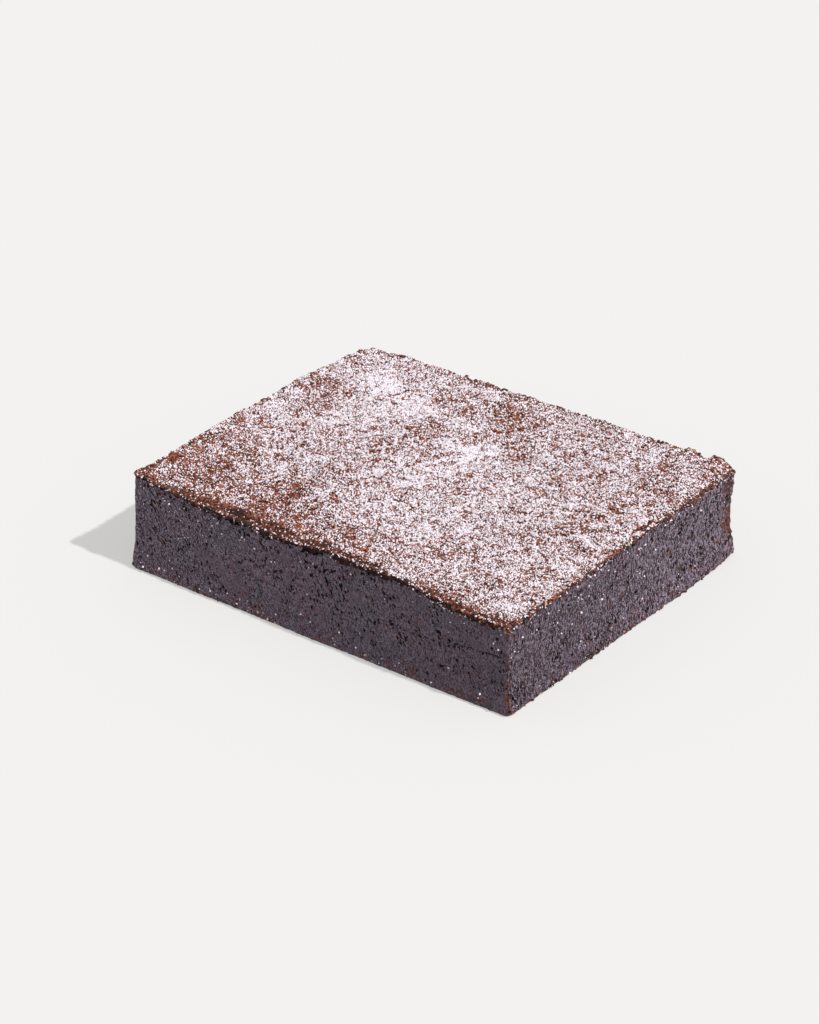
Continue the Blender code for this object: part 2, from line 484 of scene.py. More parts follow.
def crustMaterial():
    # thin papery baked crust, mauve-brown and rust, with a soft sheen, under a haze of sifted sugar; painted
    # shade and shadow darken its lip, its cracks and the dips of its rim
    material, shader, add, place = newMaterial("bakedCrust")
    look = crustLook
    cover, dark, rust = (add("Attribute", {}, "Fac", attribute_name=name)
                         for name in ("sugar", "dark", "rust"))
    patch = softBlotches(add, place, *look["paleBlotches"])
    ember = softBlotches(add, place, *look["rustBlotches"])
    ember = add("Math", (ember, rust), operation="MAXIMUM")
    speck = softBlotches(add, place, *look["darkSpecks"])
    powder = add("TexNoise", {"Vector": place, "Scale": 1 / look["powderGrain"], "Detail": 1.5})
    edge = add("MapRange", (cover, 0.0, 1.0, *look["powderEdge"]))
    edgeTop = add("Math", (edge, look["powderBlur"]), operation="ADD")
    haze = add("MapRange", (cover, look["thinCover"], 1.0, *look["haze"]))
    powder = add("MapRange", (powder, edge, edgeTop, 0.0, haze), interpolation_type="SMOOTHSTEP")
    # the dark attribute lays dark crust and painted shade over the colour, under the powder
    base = layered(add, look["baked"], [(patch, look["pale"]), (ember, look["rust"]), (speck, look["dark"]),
                                        (dark, look["darkCrustAndShade"]), (powder, look["powder"])])
    gloss = add("Math", (powder, dark), operation="MAXIMUM")
    gloss = add("MapRange", (gloss, 0.0, 1.0, *look["roughness"]))
    lift = add("Math", (powder, speck), operation="SUBTRACT")
    relief = add("Bump", {"Strength": 0.6, "Distance": look["relief"], "Height": lift})
    setInputs(shader, {"Base Color": base, "Specular IOR Level": look["specular"], "Roughness": gloss,
                       "Normal": relief})
    return material


sugarLook = {"lilac": "#f2e6ef", "white": "#fff9fd", "mottle": 0.8 * mm, "roughness": 0.9, "specular": 0.2}


def sugarMaterial():
    # icing sugar: fine matte white powder clumped into specks, faintly lilac in its shade
    material, shader, add, place = newMaterial("icingSugar")
    look = sugarLook
    tint = add("TexNoise", {"Vector": place, "Scale": 1 / look["mottle"], "Detail": 2.0})
    base = layered(add, look["lilac"], [(tint, look["white"])])
    setInputs(shader, {"Base Color": base, "Roughness": look["roughness"],
                       "Specular IOR Level": look["specular"]})
    return material


crumbleLook = {
    "dark": "#2e1915",
    "brown": "#683a2b",
    "sugared": "#c3a090",
    "brownBlotches": (1.1 * mm, 1.0, 0.38, 0.58),
    "sugaredBlotches": (1.1 * mm, 1.0, 0.60, 0.64),
    "roughness": 0.8,
}


def crumbleMaterial():
    # loose baked crumbs: cocoa brown like the crust's edge, some paler with sugar rubbed in
    material, shader, add, place = newMaterial("looseCrumb")
    look = crumbleLook
    layers = [(softBlotches(add, place, *look[name + "Blotches"]), look[name])
              for name in ("brown", "sugared")]
    setInputs(shader, {"Base Color": layered(add, look["dark"], layers), "Roughness": look["roughness"]})
    return material


def gridMesh(cols, rows):
    # a flat grid, with the column and the row of each of its points
    bm = bmesh.new()
    bmesh.ops.create_grid(bm, x_segments=cols, y_segments=rows, size=0.5)
    col = np.array([round((vert.co.x + 0.5) * cols) for vert in bm.verts])
    row = np.array([round((vert.co.y + 0.5) * rows) for vert in bm.verts])
    return bm, col, row


def storeValues(bm, fields):
    # the values that the material reads, one for each point
    layers = {name: bm.verts.layers.float.new(name) for name in fields}
    for name, values in fields.items():
        for vert, value in zip(bm.verts, values):
            vert[layers[name]] = value
    return layers


def extruded(bm, edges):
    grown = bmesh.ops.extrude_edge_only(bm, edges=edges)["geom"]
    ring = [item for item in grown if isinstance(item, bmesh.types.BMVert)]
    return ring, [item for item in grown if isinstance(item, bmesh.types.BMEdge)]


def closeUnder(bm, edges, depth):
    # draws an open edge in and down to this depth in the slab and closes it, with one point in the middle
    ring, edges = extruded(bm, edges)
    for vert in ring:
        vert.co.x *= 1 - slab["lidInset"] / halfX
        vert.co.y *= 1 - slab["lidInset"] / halfY
        vert.co.z = crustHeight(vert.co.x, vert.co.y) - depth
    lid = bmesh.ops.holes_fill(bm, edges=edges, sides=0)["faces"]
    return bmesh.ops.poke(bm, faces=lid)["verts"]


def closedMesh(bm, name):
    bmesh.ops.recalc_face_normals(bm, faces=bm.faces)
    mesh = bpy.data.meshes.new(name)
    bm.to_mesh(mesh)
    bm.free()
    mesh.shade_smooth()
    return mesh


def addObject(name, data):
    thing = bpy.data.objects.new(name, data)
    bpy.context.scene.collection.objects.link(thing)
    return thing


def finishPiece(name, mesh, material, slotName):
    piece = addObject(name, mesh)
    mesh.materials.append(material)
    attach(piece, "root")
    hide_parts("brownie")
    print(name, len(mesh.polygons), "faces")


# the cut crumb: four sides and the underside
# places on the sides are along the edge, then the height; mm
crumb = {
    "cell": 0.28 * mm,
    "underCrust": 0.45 * mm,
    "lidDepth": 2.6 * mm,
    "lidSag": 1.0 * mm,
    "seed": 11,
    "blotches": {  # width, height, seed and tilt of each kind of unevenness
        "fat": (9, 6, 21), "fatEdge": (3, 3, 22), "longDrag": (0.7, 4, 23, 35),
        "shortDrag": (0.6, 4, 24, -3), "warp": (16, 9, 25), "rough": (1.6, 1.6, 26),
        "grainy": (0.6, 0.7, 27), "crowd": (10, 5, 28), "wobble": (1.2, 1.2, 29), "fleck": (0.7, 0.9, 30),
        "torn": (1, 1, 31), "gapEdge": (1.8, 1, 32), "pits": (0.8, 0.6, 33),
    },
    "relief": {  # how far each kind raises or sinks the surface
        "warp": 0.10 * mm, "rough": 0.026 * mm, "grainy": 0.018 * mm, "drag": 0.020 * mm, "pore": 0.34 * mm,
        "farTorn": 0.12 * mm, "footTorn": 0.10 * mm,
    },
    "pressed": 0.75,  # how much of the fine relief a smear takes away
    "poresPerCm2": 30,
    "gather": [(9, 15, 0.40), (104, 12, 0.35), (150, 14, 0.25)],  # more pores round these places
    "footBand": 2.2 * mm,  # height of the rough crumb along the foot
    "bakedStrip": 4.4 * mm,  # the far right upright edge is rough baked crust, narrowing towards the foot
    "stripTaper": 7 * mm,
    "nearStrip": 0.34 * mm,  # the near upright edge is a thin rough line
    "sway": 0.2 * mm,  # how far the flecks pull the edges of all these about
    "hollows": {"near": 0.43, "far": 0.44, "gap": 0.9},  # how dark the painted shade in the hollows of both edges and the painted shadow in the gap are
    "cracks": [  # width, how deep and how dark in painted shade, and the line
        (0.3, 0.8, [(47.6, 18.6), (48.2, 15.5), (48.9, 13.5), (50.2, 11.1)]),
        (0.27, 0.85, [(47.9, 15.7), (49, 16.6), (50, 16.4), (51.2, 17.1)]),
        (0.35, 0.45, [(62, 10.4), (68, 9.9), (75, 10.3)]),
        (0.3, 0.6, [(79, 11.4), (84, 11.8), (90.5, 12.2)]), (0.6, 0.2, [(31, 8), (31.4, 4), (31.2, 1)]),
    ],
    "largePores": [  # with width and height
        (75.7, 12.6, 1.5, 0.7), (76.6, 5.6, 1.3, 0.5), (27, 10.5, 0.9, 0.5), (30, 12, 0.6, 0.8),
        (13.6, 17.6, 0.6, 1.1), (37.1, 10.9, 1.2, 0.5), (40.7, 11.6, 0.6, 0.5), (45, 8.6, 0.5, 0.6),
        (54, 16.7, 0.5, 0.5), (11.5, 14.2, 0.8, 0.5), (88, 14, 0.7, 0.7), (127.3, 14.8, 0.7, 0.9),
        (130.4, 15.3, 0.9, 1), (126.1, 13.1, 1, 0.7), (131.8, 12.1, 1.2, 0.7), (134.6, 7.4, 1.2, 0.7),
        (106.8, 13.7, 0.8, 1.1), (106.5, 10.4, 0.5, 1.6), (102.1, 14.8, 0.8, 0.7), (149.2, 14.1, 1.3, 0.9),
        (145.5, 11.7, 1.1, 0.6), (151, 5, 1, 1),
    ],
    "brownFlecks": [
        (25, 8.4, 1.5, 0.6), (49.6, 12, 0.6, 1.8), (58.7, 14.3, 1.1, 0.8), (33.2, 15.6, 0.7, 1),
        (27.1, 13.5, 0.6, 0.9), (29.7, 5.7, 0.7, 0.9), (18.5, 11.7, 0.5, 0.6), (17.4, 6, 0.6, 0.7),
        (62.2, 17.1, 0.8, 0.6), (76.8, 5.2, 1.4, 0.6), (76.3, 3.3, 0.5, 1.5), (82.2, 1.9, 0.8, 0.8),
        (87, 1.8, 0.8, 0.7), (86.7, 17, 0.6, 0.5), (70.6, 12.9, 1, 0.6), (37, 4.6, 0.6, 1.2),
    ],
    "smears": [  # smooth patches where the knife pressed fat into the crumb, with width and height
        (8.5, 17, 3.5, 1.6), (1.5, 11, 2.5, 4), (17, 8.8, 4.5, 2.2), (28, 4.4, 2.8, 3.6),
        (36, 6, 4.5, 3.5), (39, 15.8, 3, 1.8), (60, 5.4, 4, 2), (56, 13, 4, 2.6),
    ],
}


def stampOval(field, cell, s, z, wide, tall, amount, tilt=0.0):
    # adds one soft-edged dent to a field of values, round the slab's seam if it has to
    rows, cols = field.shape
    reach = 0.6 * max(wide, tall) + cell
    c0, c1 = int((s - reach) / cell), int((s + reach) / cell) + 2
    r0, r1 = max(0, int((z - reach) / cell)), min(rows, int((z + reach) / cell) + 2)
    if r1 <= r0:
        return
    cc, rr = np.meshgrid(np.arange(c0, c1), np.arange(r0, r1))
    dx, dz = cc * cell - s, rr * cell - z
    c, k = cos(tilt), sin(tilt)
    d = ((dx * c + dz * k) / (wide / 2)) ** 2 + ((dz * c - dx * k) / (tall / 2)) ** 2
    shape = np.exp(-1.3 * d ** 1.5) * amount
    field[rr, cc % cols] = np.maximum(field[rr, cc % cols], shape)


def strokeDistance(x, y, path):
    # distance from each point to a line of straight pieces
    best = np.full(np.shape(x), 1e9)
    for (ax, ay), (bx, by) in zip(path[:-1], path[1:]):
        ax, ay, bx, by = ax * mm, ay * mm, bx * mm, by * mm
        dx, dy = bx - ax, by - ay
        t = np.clip(((x - ax) * dx + (y - ay) * dy) / (dx * dx + dy * dy), 0, 1)
        best = np.minimum(best, np.hypot(x - ax - t * dx, y - ay - t * dy))
    return best


def crumbGrid():
    # the sides as a grid: columns along the edge, rows from the foot up to the crust
    cols = int(round(perimeter / crumb["cell"]))
    rows = int(round((height - crumb["underCrust"]) / crumb["cell"])) + 1
    cell = perimeter / cols
    s = np.arange(cols)[None, :] * cell + np.zeros((rows, 1))
    x, y, nx, ny = outline(s)
    top = crustHeight(x, y) - crumb["underCrust"]
    z = np.linspace(0, 1, rows)[:, None] * top
    side = {"s": s, "x": x, "y": y, "z": z, "nx": nx, "ny": ny, "fromTop": top - z, "cell": cell}
    side.update(blotchFields(crumb["blotches"], rows, cols, cell))
    side["sway"] = crumb["sway"] * side["fleck"]
    return side


def markEdges(side):
    # how near each point is to the foot, to the rough upright edges and to the lip
    s, z = side["s"], side["z"]
    side["nearFoot"] = np.exp(-(z / crumb["footBand"]) ** 2)
    stripStart = bakedCorner - crumb["bakedStrip"] * smoothStep(0, crumb["stripTaper"], z)
    farEdge = smoothStep(-0.3 * mm, 0.3 * mm, s - stripStart + side["sway"])
    side["farEdge"] = farEdge * smoothStep(3 * mm, 0.5 * mm, s - bakedCorner)
    nearLine = s - longSide - 0.1 * mm + 0.6 * side["sway"]
    side["nearEdge"] = np.exp(-(nearLine / crumb["nearStrip"]) ** 2)
    below = side["fromTop"] - lip["gapReach"] + 0.25 * mm * side["gapEdge"]
    side["underLip"] = np.exp(-np.maximum(below / lip["gapReach"], 0.0) ** 2)


def crumbSmears(side):
    smear = side["fat"] + 0.25 * side["fatEdge"]
    for oval in crumb["smears"]:
        smear += 2.0 * bump(side["s"], side["z"], *oval)
    return smoothStep(1.3, 2.3, smear)


def scatterPores(side):
    # many small pores, leaning with the drag on the long sides, fewer near the foot
    rows, cols = side["s"].shape
    cell = side["cell"]
    rng = np.random.default_rng(crumb["seed"])
    pores = np.zeros((rows, cols))
    for _ in range(int(crumb["poresPerCm2"] * perimeter * height / 1e-4)):
        s, z = rng.uniform(0, perimeter), rng.uniform(0.6 * mm, height)
        size, stretch, lean = rng.uniform(), rng.uniform(0.9, 2.0), rng.normal(0, 0.25)
        r, c = min(rows - 1, int(z / cell)), int(s / cell) % cols
        likely = 0.35 + 0.25 * side["crowd"][r, c] + 0.5 * (z / height - 0.5)
        if rng.uniform() > likely + alongPlaces(s, crumb["gather"]):
            continue
        wide = (0.28 + 0.30 * size ** 4) * mm
        tilt = (0.6 if onLongSide(side["s"][r, c]) else 0.0) + lean
        stampOval(pores, cell, s, z, wide, wide * stretch, 0.8 + 0.2 * size, tilt)
    return pores


def crumbPores(side):
    pores = scatterPores(side)
    for oval in crumb["largePores"]:
        stampOval(pores, side["cell"], *(value * mm for value in oval), 1.0)
    wobble = 0.12 * mm * side["wobble"]
    for width, dark, path in crumb["cracks"]:
        gap = strokeDistance(side["s"] + wobble, side["z"] + wobble, path) / (width * mm)
        pores = np.maximum(pores, dark * np.exp(-(gap * 1.6) ** 2))
    return pores


def paintedHollowShade(side):
    # painted shade in the hollows of the rough edges, and painted shadow in the gap under the lip
    share = crumb["hollows"]
    near = share["near"] * side["nearEdge"] * smoothStep(-0.9, 0.1, side["fleck"])
    far = share["far"] * side["farEdge"] * smoothStep(0.1, 1.0, -side["torn"])
    depth = gapDepth(side["s"]) + 0.14 * mm * side["pits"]
    gap = share["gap"] * side["underLip"] * smoothStep(0.06 * mm, 0.40 * mm, depth)
    return np.maximum.reduce([near, far, gap])


def crumbRust(side):
    # brown flecks: more near the foot, in a band along the far right upright edge, and down the near one
    s, z, fleck, sway = side["s"], side["z"], side["fleck"], side["sway"]
    level = fleck + 0.9 * side["nearFoot"] + 1.9 * side["farEdge"] + 0.25 * ~onLongSide(s)
    rust = smoothStep(1.9, 2.6, level)
    for placeS, placeZ, wide, tall in crumb["brownFlecks"]:
        spot = bump(s + sway, z - sway, placeS, placeZ, wide / 2, tall / 2, 35)
        rust = np.maximum(rust, smoothStep(0.3, 0.6, spot))
    near = side["nearEdge"] * smoothStep(-1.2, 0.2, fleck)
    far = side["farEdge"] * (0.05 + 0.6 * smoothStep(0.0, 1.0, fleck))
    return np.maximum.reduce([0.9 * rust, near, far])


def crumbOut(side, smear, pores):
    # how far each point stands out from the outline
    s, z, torn, amounts = side["s"], side["z"], side["torn"], crumb["relief"]
    drag = np.where(onLongSide(s), side["longDrag"], side["shortDrag"])
    fine = amounts["rough"] * side["rough"] + amounts["grainy"] * side["grainy"] + amounts["drag"] * drag
    relief = amounts["warp"] * side["warp"] + (1 - crumb["pressed"] * smear) * fine - amounts["pore"] * pores
    relief += amounts["farTorn"] * side["farEdge"] * torn
    relief += amounts["footTorn"] * side["nearFoot"] * np.maximum(torn, 0)
    relief -= gapDepth(s) * side["underLip"]
    out = sideSpread(side["x"], side["y"], z) - footTuck(s, z)
    out += relief * smoothStep(0, 0.8 * mm, z + 0.2 * mm)
    out += 0.6 * edgeWave(s) * smoothStep(3.0 * mm, 0.5 * mm, side["fromTop"])
    return out + cornerLean(s) * np.exp(-(side["fromTop"] / (6 * mm)) ** 2)


def crumbSides():
    side = crumbGrid()
    markEdges(side)
    pores = crumbPores(side)
    side["smear"] = crumbSmears(side)
    side["out"] = crumbOut(side, side["smear"], pores)
    # the pores, with the painted shade of the hollows and the painted shadow under the lip
    side["pore"] = np.maximum(pores, paintedHollowShade(side))
    side["rust"] = crumbRust(side)
    side["upright"] = 1.0 - onLongSide(side["s"])
    return side


def makeCrumb(side, material):
    rows, cols = side["x"].shape
    bm, col, row = gridMesh(cols, rows - 1)
    col %= cols
    # the grid is rolled into the slab's four sides
    x = (side["x"] + side["nx"] * side["out"])[row, col]
    y = (side["y"] + side["ny"] * side["out"])[row, col]
    for vert, *point in zip(bm.verts, x, y, side["z"][row, col]):
        vert.co = point
    storeValues(bm, {name: np.clip(side[name][row, col], 0, 1)
                     for name in ("pore", "smear", "rust", "upright")})
    bmesh.ops.remove_doubles(bm, verts=bm.verts, dist=1e-7)
    border = [edge for edge in bm.edges if edge.is_boundary]
    lower = [edge for edge in border if edge.verts[0].co.z < 1e-6]
    upper = [edge for edge in border if edge.verts[0].co.z > 1e-6]
    bmesh.ops.holes_fill(bm, edges=lower, sides=0)
    for vert in closeUnder(bm, upper, crumb["lidDepth"]):
        vert.co.z -= crumb["lidSag"]
    finishPiece("crumb", closedMesh(bm, "crumb"), material, "crumb")


# the crust, with places on its plan in mm
crust = {
    "cell": 0.30 * mm,
    "lidDepth": 1.8 * mm,
    "lidMiddle": 2.6 * mm,
    "blotches": {  # width, height, seed and tilt of each kind of unevenness
        "thick": (8, 8, 42), "thin": (2.6, 2.6, 43), "swell": (9, 7, 44), "lumps": (2.4, 2.0, 45),
        "grainy": (0.9, 0.9, 46), "ripple": (9, 1.3, 47, 36), "wobble": (1.2, 1.2, 48),
        "spots": (0.8, 0.8, 49), "spotCrowd": (6, 6, 50), "ragged": (4, 4, 51), "char": (1.1, 1.1, 52),
    },
    "relief": {"swell": 0.10 * mm, "lumps": 0.06 * mm, "grainy": 0.045 * mm, "ripple": 0.06 * mm},
    "ripplePlace": (30, 0, 16, 14),
    "cover": 0.575,  # how much sugar lies there, from none to 1, and how it changes
    "coverChange": {"thick": 0.03, "thin": 0.085, "ripple": 0.08, "lumps": -0.03},
    "rustLevels": (2.3, 2.9),
    "fissures": [  # width, depth, how dark its painted shade is, and the line
        (0.4, 0.4, 0.3, [(-26, 25.6), (-26.3, 23), (-27.6, 20.8), (-28.9, 19.4)]),
        (0.5, 0.4, 0.8, [(-28.3, 20.2), (-29.2, 19.2)]), (0.5, 0.4, 0.7, [(-25.2, 18.8), (-24.6, 18.5)]),
        (0.5, 0.7, 0.9, [(36.4, -19.4), (37.6, -18.6), (38.6, -17.4), (39.4, -16.8)]),
        (0.6, 0.9, 1, [(0.4, -13.5), (1.5, -12.9)]),
        (0.3, 0.25, 0.3, [(1.6, -12.9), (3.6, -13.3), (5.2, -14.8)]),
        (0.4, 0.3, 0.3, [(-4, -16.2), (-2.2, -15.4)]), (0.5, 0.6, 0.9, [(-10.2, -20.2), (-9.2, -19.6)]),
        (0.5, 0.6, 0.7, [(-9.3, -23.8), (-9.6, -25.6), (-10.2, -26.8)]),
        (0.4, 0.5, 0.9, [(-10.2, -26.8), (-9, -28.6)]),
        (0.7, 0.6, 0.8, [(44.6, 10.4), (44.9, 8), (44, 5.4)]),
        (0.8, 0.5, 1, [(-2.6, -37.9), (0, -38.2), (2.6, -37.8)]),
        (0.7, 0.5, 1, [(6, -38.2), (8.4, -37.9)]), (0.45, 0.4, 0.9, [(10.5, -38.2), (17.5, -38.1)]),
    ],
    "bareSpots": [  # rust-brown crust showing through, with lengths, widths and perhaps turns
        (-16.2, 2.6, 1.7, 1, -45), (-14.6, 1, 1.2, 1), (-5.5, 2.2, 2.4, 0.9, -15),
        (6.2, 2.6, 2.6, 0.8, -40), (1.9, -5.2, 0.8, 2.2), (10.1, -7.7, 0.8, 1.8, 20),
        (-37.6, 4, 0.8, 4, 8), (-0.7, 22, 1.8, 1.3), (-13.4, -2.3, 1, 1.4, 20), (5.5, 12.6, 2, 0.8, -20),
        (-37.8, -6.2, 2.2, 0.8, 20), (14.8, -1, 0.8, 0.8), (-19, -1.2, 0.9, 1.5, 20),
        (-21.2, 8, 1.6, 0.7, -50), (42.9, 28.2, 0.8, 1.2), (-12, 13.4, 1.4, 0.9), (13.8, 31.2, 1.4, 1.4),
        (36, 20.2, 1.6, 1.2), (40.5, 15.5, 2.4, 1, 60), (17.3, -4.7, 0.7, 1), (10.4, 26.4, 1, 1),
        (-31.8, -18.6, 1.2, 1), (-29, -26.6, 1.2, 1), (8, -33.5, 2.4, 1.2, 20), (3, -31.6, 1.4, 1.2),
        (15, -24, 1, 0.8), (-18.3, -21.6, 1.6, 0.8), (24.4, -29.6, 1, 1),
    ],
    "patches": [  # place, size, perhaps a turn, and how much more or less sugar lies there
        (-31, 24.5, 7, 5, 0.26), (-27, 14, 5, 6, 0.2), (-20, 18, 5, 5, 0.12), (-1, 12, 5, 4, 0.26),
        (-1, -1, 4, 5, 0.14), (-43, 1, 4, 5, 0.16), (8, -17, 10, 5, 0.12), (-40, 16, 5, 4, -0.2),
        (-37, 8, 3, 5, -0.16), (-43, 30, 4, 3, -0.2), (-13, 12, 4, 2.8, -20, -0.3),
        (-2, 29, 9, 4.5, -0.32), (3, 23, 4, 4, -0.16), (17, 25, 3, 4, -0.2), (35, 30, 3, 4, -0.28),
        (39, 21, 6, 4, -0.2), (9.5, 15.8, 2.6, 2.1, -0.45), (36, 11, 4, 4, -0.18), (35, -1, 6, 6, -0.15),
        (-16, -12, 5, 4, -0.32), (-37, -19, 11, 5.5, -0.22), (-44, -26, 4, 5, -0.22),
        (-18, -22, 3.5, 4, -0.26), (-32, -26, 8, 6, -0.18), (-16, -30.5, 10, 5, -0.38),
        (-40, -31.5, 10, 5, -0.25), (1, -32, 8, 4, -0.24), (-37, 37, 12, 2.5, -0.15),
        (-4, 37, 6, 2.5, -0.2), (5, 18, 3, 3, 0.15), (23, 28, 3.5, 4, -0.22), (23, -18, 4, 4, -0.15),
        (40, -30, 5, 4, 0.22), (5, -29, 4, 3, -0.15), (38, 2, 4, 5, 0.14), (-16, 25, 5, 4, -0.12),
        (45, -37.8, 3, 2, -0.3), (36, -38, 9, 3, -0.22), (6, -24, 16, 9, -0.07), (32, -27, 10, 6, -0.08),
        (-20, -37, 18, 2, -0.2), (-33, 16, 5, 4, -0.12),
    ],
    "paintedShadows": [  # painted shadow where the front rim dips, and two darker patches further in: place, size, how dark
        (-33, -38, 9, 2.4, 0.6), (-20.5, -37.2, 4.5, 2.6, 0.9), (-12, -37.7, 9, 2.8, 0.75),
        (0, -37.8, 7, 2.6, 0.8), (10, -37.8, 8, 2, 0.8), (27, -38, 12, 1.2, 0.6), (40, -38, 6, 1.6, 0.6),
        (-15.5, -22, 3, 1.8, 0.5), (36, -30, 4, 4, 0.3),
    ],
    "bareRim": 0.9 * mm,
    "frontRim": (-17, 23, 8),  # the front rim is barest here, over this length and width
}


def rimLoss(plan):
    # how much thinner the sugar is along the rim, most of all along the front
    x, y = plan["x"], plan["y"]
    middle, long, wide = crust["frontRim"]
    edge = np.minimum(halfX - np.abs(x), halfY - np.abs(y))
    front = smoothStep(-30 * mm, -36 * mm, y)
    barest = front * bump(x, y, middle, -halfY / mm, long, wide)
    ragged = np.clip(1 + 0.45 * plan["ragged"], 0.2, 2.2)
    rim = crust["bareRim"] * (1 + 0.6 * front + 2.2 * barest) * ragged
    return (0.25 + 0.18 * front + 0.22 * barest) * np.exp(-(edge / rim) ** 2)


def bareCrust(plan, wobble):
    # spots with no sugar, where the crust is rust-brown
    rust = smoothStep(*crust["rustLevels"], plan["spots"] + 0.5 * plan["spotCrowd"])
    for placeX, placeY, long, wide, *turn in crust["bareSpots"]:
        spot = bump(plan["x"] + wobble, plan["y"] + wobble, placeX, placeY, long / 2, wide / 2, *turn)
        rust = np.maximum(rust, smoothStep(0.3, 0.7, spot))
    return rust


def paintedCrustShadow(plan, wobble):
    # painted shadow where the front rim dips, and two darker patches further in
    dark = np.zeros_like(plan["x"])
    for *oval, depth in crust["paintedShadows"]:
        spot = bump(plan["x"] + 3 * wobble, plan["y"] + wobble, *oval)
        dark = np.maximum(dark, depth * smoothStep(0.25, 0.75, spot))
    return dark * np.clip(0.85 + 0.35 * plan["char"], 0.2, 1.0)


def crustFields():
    cell = crust["cell"]
    cols, rows = int(round(longSide / cell)) + 1, int(round(shortSide / cell)) + 1
    x, y = np.meshgrid(np.linspace(-halfX, halfX, cols), np.linspace(-halfY, halfY, rows))
    plan = {"x": x, "y": y, **blotchFields(crust["blotches"], rows, cols, cell)}
    plan["ripple"] *= bump(x, y, *crust["ripplePlace"])
    wobble = 0.18 * mm * plan["wobble"]
    relief = sum(amount * plan[name] for name, amount in crust["relief"].items())
    cover = crust["cover"] + sum(change * plan[name] for name, change in crust["coverChange"].items())
    for *oval, change in crust["patches"]:
        cover += change * bump(x, y, *oval)
    rust = bareCrust(plan, wobble)
    dark = paintedCrustShadow(plan, wobble)
    cover -= rimLoss(plan) + 0.8 * rust + 0.22 * dark
    for width, depth, shade, path in crust["fissures"]:
        gap = strokeDistance(x + wobble, y + wobble, path) / (width * mm)
        line = np.exp(-(gap * 1.7) ** 2)
        relief -= depth * mm * line
        cover -= line
        rust = np.maximum(rust, 0.7 * line)
        # painted shade down in the crack
        dark = np.maximum(dark, shade * np.exp(-(gap * 2.0) ** 2))
    return {"x": x, "y": y, "z": crustHeight(x, y) + relief, "sugar": np.clip(cover, 0, 1), "dark": dark,
            "rust": rust}


def gridLookup(field, x, y):
    rows, cols = field.shape
    c = np.clip((x / longSide + 0.5) * (cols - 1), 0, cols - 1.001)
    r = np.clip((y / shortSide + 0.5) * (rows - 1), 0, rows - 1.001)
    c0, r0 = c.astype(int), r.astype(int)
    fc, fr = c - c0, r - r0
    return ((field[r0, c0] * (1 - fc) + field[r0, c0 + 1] * fc) * (1 - fr)
            + (field[r0 + 1, c0] * (1 - fc) + field[r0 + 1, c0 + 1] * fc) * fr)


def pullRing(bm, edges, layers, heights, out, down):
    # one ring of the torn lip, pulled out and down from the last one
    ring, edges = extruded(bm, edges)
    s = np.array([vert[layers["along"]] for vert in ring])
    x, y, nx, ny = outline(s)
    z = gridLookup(heights, x, y) - down * lipDrop(s)
    smooth, torn = lip["rough"]
    roughness = torn if 0.2 < down < 1.0 else smooth
    sugared = np.where(onLongSide(s), *lip["sugared"]) - lip["sugarFade"] * down
    paintedShadows = alongPlaces(s, lip["darkPlaces"])
    reach = out * mm * (1 - lip["cornerTight"] * nearBakedCorner(s, slab["bakedReach"]))
    places = zip(ring, x, y, z, nx, ny, reach, lipWave(s), sugared, paintedShadows)
    for vert, cx, cy, cz, dx, dy, far, sway, sugar, darkCrustAndShade in places:
        point = Vector((cx, cy, cz))
        rough = noise.noise(point / (0.8 * mm)) + 0.6 * noise.noise(point / (0.4 * mm))
        step = far + sway + roughness * rough
        vert.co = (cx + dx * step, cy + dy * step, cz + 0.3 * roughness * rough)
        vert[layers["sugar"]] = max(0.0, sugar - 0.3 * darkCrustAndShade)
        vert[layers["rust"]] = max(0.0, 0.7 * rough - 0.2 * darkCrustAndShade)
        # painted shade on the lip: darker the further down it hangs and at the painted shadow places, less
        # where it is rough
        vert[layers["dark"]] = min(1.0, max(0.0, 0.5 + 0.5 * down + 0.6 * darkCrustAndShade - 1.2 * rough))
    return edges


def makeCrust(plan, material):
    rows, cols = plan["x"].shape
    bm, col, row = gridMesh(cols - 1, rows - 1)
    gridX, gridY = plan["x"][row, col], plan["y"][row, col]
    x, y, nx, ny = roundCorner(gridX, gridY)
    s = alongOutline(gridX, gridY)
    wave = lipWave(s)
    for vert, *point in zip(bm.verts, x + nx * wave, y + ny * wave, plan["z"][row, col]):
        vert.co = point
    fields = {name: plan[name][row, col] for name in ("sugar", "dark", "rust")}
    layers = storeValues(bm, {**fields, "along": s})
    edges = [edge for edge in bm.edges if edge.is_boundary]
    for out, down in lip["profile"]:
        edges = pullRing(bm, edges, layers, plan["z"], out, down)
    bm.verts.layers.float.remove(layers["along"])
    for vert in closeUnder(bm, edges, crust["lidDepth"]):
        vert.co.z = height - crust["lidMiddle"]
    finishPiece("crust", closedMesh(bm, "crust"), material, "crust")


def templateShape(kind):
    bm = bmesh.new()
    if kind == "shard":
        bmesh.ops.create_cone(bm, segments=3, radius1=1.0, radius2=0.0, depth=1.4, cap_ends=True)
    elif kind == "grain":
        bmesh.ops.create_uvsphere(bm, u_segments=4, v_segments=2, radius=1.0)
    else:
        bmesh.ops.create_icosphere(bm, subdivisions=1 if kind == "ball" else 2, radius=1.0)
    bmesh.ops.triangulate(bm, faces=bm.faces)
    bmesh.ops.recalc_face_normals(bm, faces=bm.faces)
    bm.verts.index_update()
    verts = np.array([tuple(vert.co) for vert in bm.verts])
    faces = np.array([[vert.index for vert in face.verts] for face in bm.faces])
    bm.free()
    return verts - verts.mean(axis=0), faces


